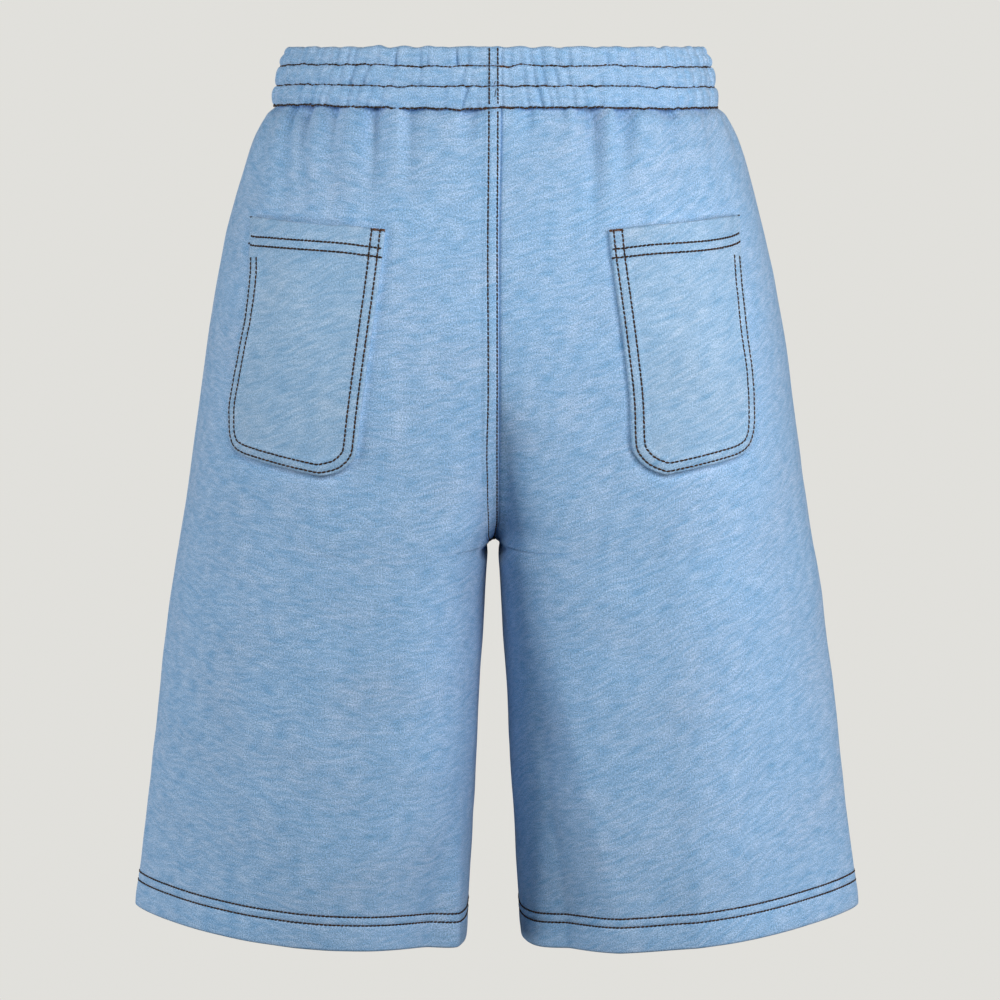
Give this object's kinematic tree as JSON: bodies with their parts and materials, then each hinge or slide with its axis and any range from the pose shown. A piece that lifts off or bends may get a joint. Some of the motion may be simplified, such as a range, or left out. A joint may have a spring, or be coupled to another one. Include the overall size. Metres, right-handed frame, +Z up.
{
  "type": "knit shorts",
  "caption": "Wide, knee-length knit shorts in worn form, hollow, with an elasticated waist in stitched channels, patch pockets on the back and turned, topstitched hems.",
  "frame": {"origin": "middle of the waistband's opening, halfway up the band, where the wearer's waist holds the garment", "axes": "+Z up along the garment, +Y towards its back with the patch pockets, +X towards the wearer's left"},
  "size_m": [0.475, 0.2648, 0.5815],
  "materials": {
    "knit": "matte heather sweatshirt knit, light blue",
    "pocket_knit": "matte heather sweatshirt knit, light blue, a little lighter",
    "waistband_knit": "matte heather knit gathered over elastic",
    "thread": "dark brown sewing thread with a slight lustre"
  },
  "bodies": {
    "root": {"back_left": "knit", "back_right": "knit", "front_left": "knit", "front_right": "knit", "pocket_left": "pocket_knit", "pocket_right": "pocket_knit", "waistband": "waistband_knit"}
  },
  "joints": []
}
